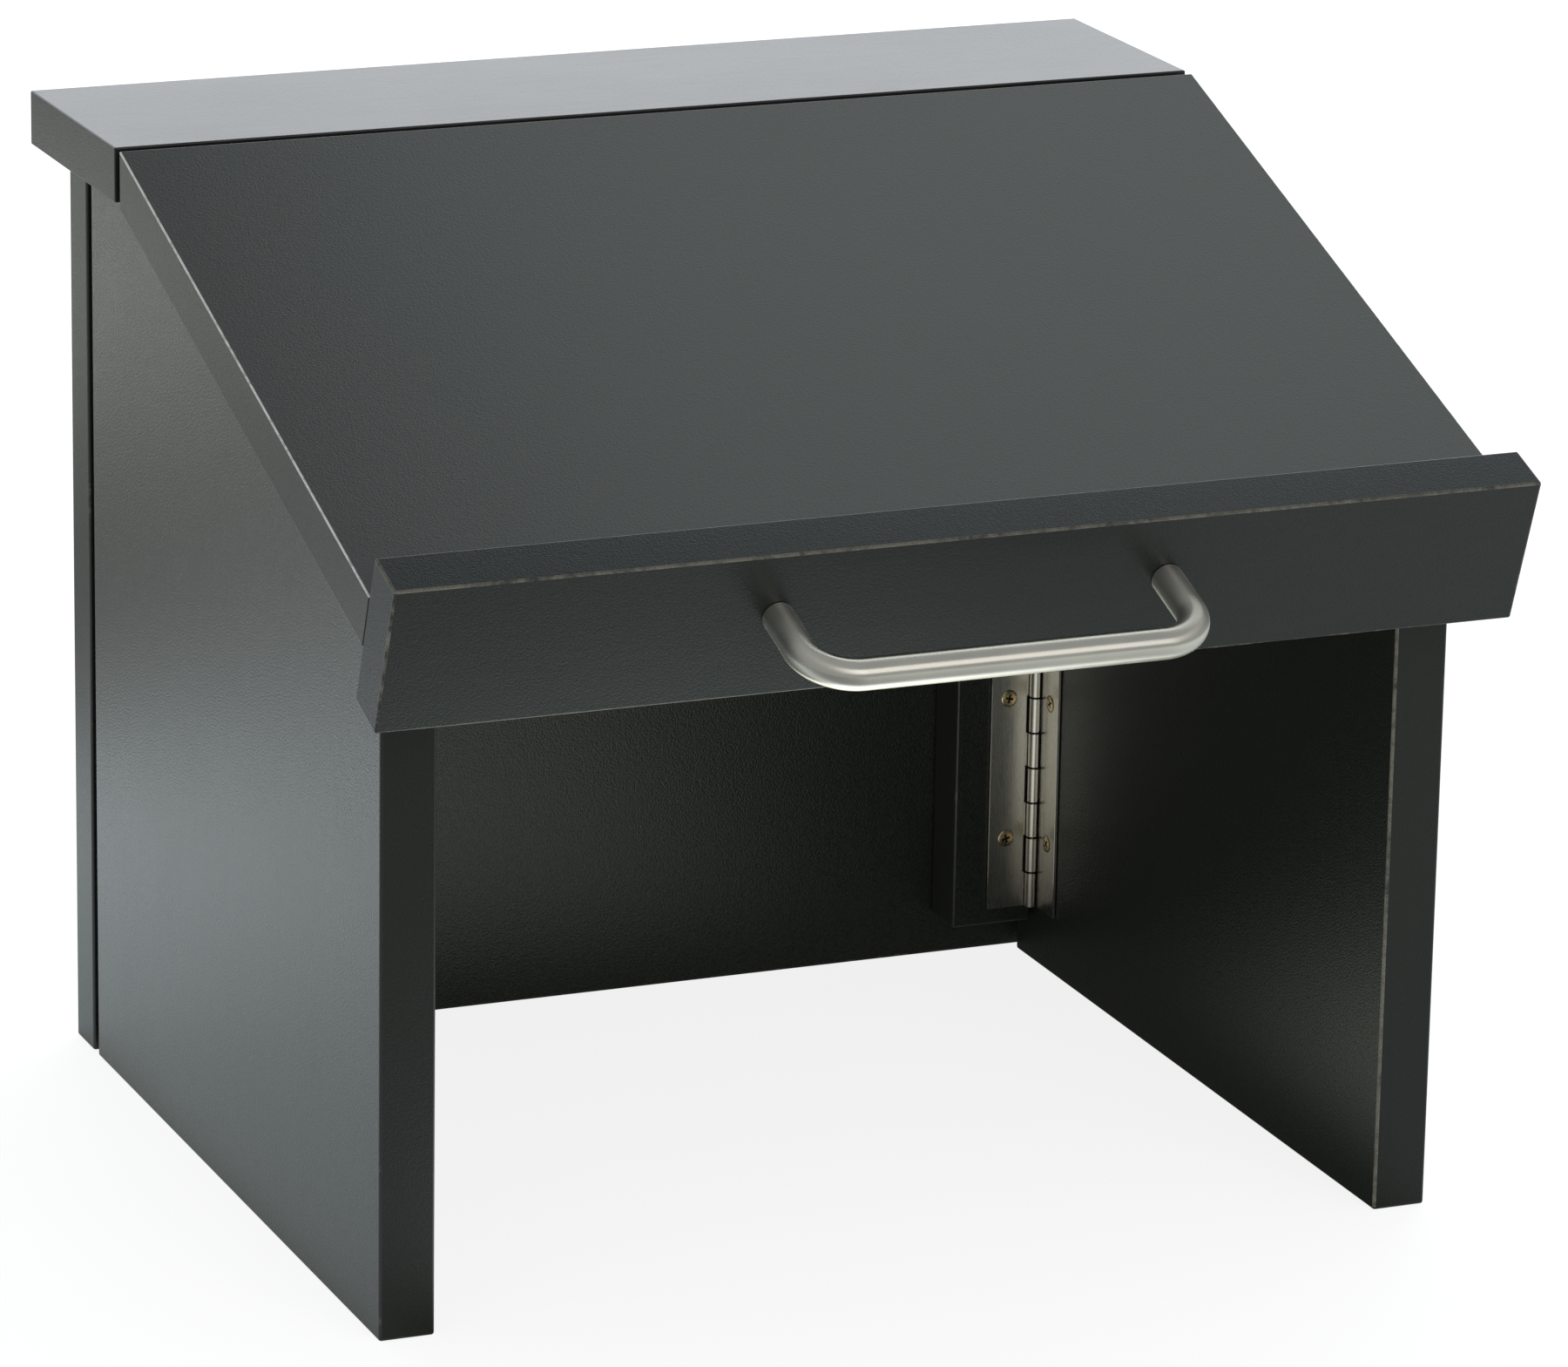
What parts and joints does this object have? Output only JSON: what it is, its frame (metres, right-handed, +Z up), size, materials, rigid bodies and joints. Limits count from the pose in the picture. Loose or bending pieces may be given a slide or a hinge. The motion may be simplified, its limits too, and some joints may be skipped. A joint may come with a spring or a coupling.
{
  "type": "folding tabletop lectern",
  "caption": "Tabletop reading stand: back and hinged folding side panels under a flat shelf and a sloping board with a book stop and a carrying handle.",
  "frame": {"origin": "on the standing surface, under the centre of the overall box", "axes": "+Z up, -Y towards the reader, +X to the reader's right"},
  "size_m": [0.376, 0.3823, 0.325],
  "materials": {
    "laminate_board": "matt charcoal laminate on board, with matching edge band",
    "hinge_steel": "bright rolled steel",
    "handle_steel": "satin brushed",
    "zinc_fastener": "yellow zinc plated",
    "beech_dowel": "bare fluted dowel wood"
  },
  "bodies": {
    "base": {"back_panel": "laminate_board", "batten_screw_1": "zinc_fastener", "batten_screw_2": "zinc_fastener", "board_hinge_fixed_leaf": "hinge_steel", "board_hinge_fixed_screw_1": "zinc_fastener", "board_hinge_fixed_screw_2": "zinc_fastener", "board_hinge_fixed_screw_3": "zinc_fastener", "board_hinge_fixed_screw_4": "zinc_fastener", "board_hinge_fixed_screw_5": "zinc_fastener", "board_hinge_pin": "hinge_steel", "hinge_batten": "laminate_board", "left_hinge_fixed_leaf": "hinge_steel", "left_hinge_fixed_screw_1": "zinc_fastener", "left_hinge_fixed_screw_2": "zinc_fastener", "left_hinge_fixed_screw_3": "zinc_fastener", "left_hinge_fixed_screw_4": "zinc_fastener", "left_hinge_fixed_screw_5": "zinc_fastener", "left_hinge_pin": "hinge_steel", "right_hinge_fixed_leaf": "hinge_steel", "right_hinge_fixed_screw_1": "zinc_fastener", "right_hinge_fixed_screw_2": "zinc_fastener", "right_hinge_fixed_screw_3": "zinc_fastener", "right_hinge_fixed_screw_4": "zinc_fastener", "right_hinge_fixed_screw_5": "zinc_fastener", "right_hinge_pin": "hinge_steel", "shelf_dowel_1": "beech_dowel", "shelf_dowel_2": "beech_dowel", "shelf_dowel_3": "beech_dowel", "top_shelf": "laminate_board"},
    "left_side": {"left_hinge_moving_leaf": "hinge_steel", "left_hinge_moving_screw_1": "zinc_fastener", "left_hinge_moving_screw_2": "zinc_fastener", "left_hinge_moving_screw_3": "zinc_fastener", "left_hinge_moving_screw_4": "zinc_fastener", "left_hinge_moving_screw_5": "zinc_fastener", "left_panel": "laminate_board"},
    "right_side": {"right_hinge_moving_leaf": "hinge_steel", "right_hinge_moving_screw_1": "zinc_fastener", "right_hinge_moving_screw_2": "zinc_fastener", "right_hinge_moving_screw_3": "zinc_fastener", "right_hinge_moving_screw_4": "zinc_fastener", "right_hinge_moving_screw_5": "zinc_fastener", "right_panel": "laminate_board"},
    "reading_desk": {"board_hinge_moving_leaf": "hinge_steel", "board_hinge_moving_screw_1": "zinc_fastener", "board_hinge_moving_screw_2": "zinc_fastener", "board_hinge_moving_screw_3": "zinc_fastener", "board_hinge_moving_screw_4": "zinc_fastener", "board_hinge_moving_screw_5": "zinc_fastener", "front_lip": "laminate_board", "handle_bolt_1": "zinc_fastener", "handle_bolt_2": "zinc_fastener", "lip_dowel_1": "beech_dowel", "lip_dowel_2": "beech_dowel", "lip_dowel_3": "beech_dowel", "pull_handle": "handle_steel", "reading_board": "laminate_board"}
  },
  "joints": [
    {"name": "left_side_fold", "type": "hinge", "parent": "base", "child": "left_side", "pos_m": [-0.1575, 0.16069, 0.148], "axis": [0, 0, 1], "range_deg": [0, 90]},
    {"name": "right_side_fold", "type": "hinge", "parent": "base", "child": "right_side", "pos_m": [0.1575, 0.14169, 0.148], "axis": [0, 0, -1], "range_deg": [0, 90]},
    {"name": "reading_board_lift", "type": "hinge", "parent": "base", "child": "reading_desk", "pos_m": [0, 0.09869, 0.307], "axis": [-1, 0, 0], "range_deg": [0, 8]}
  ]
}
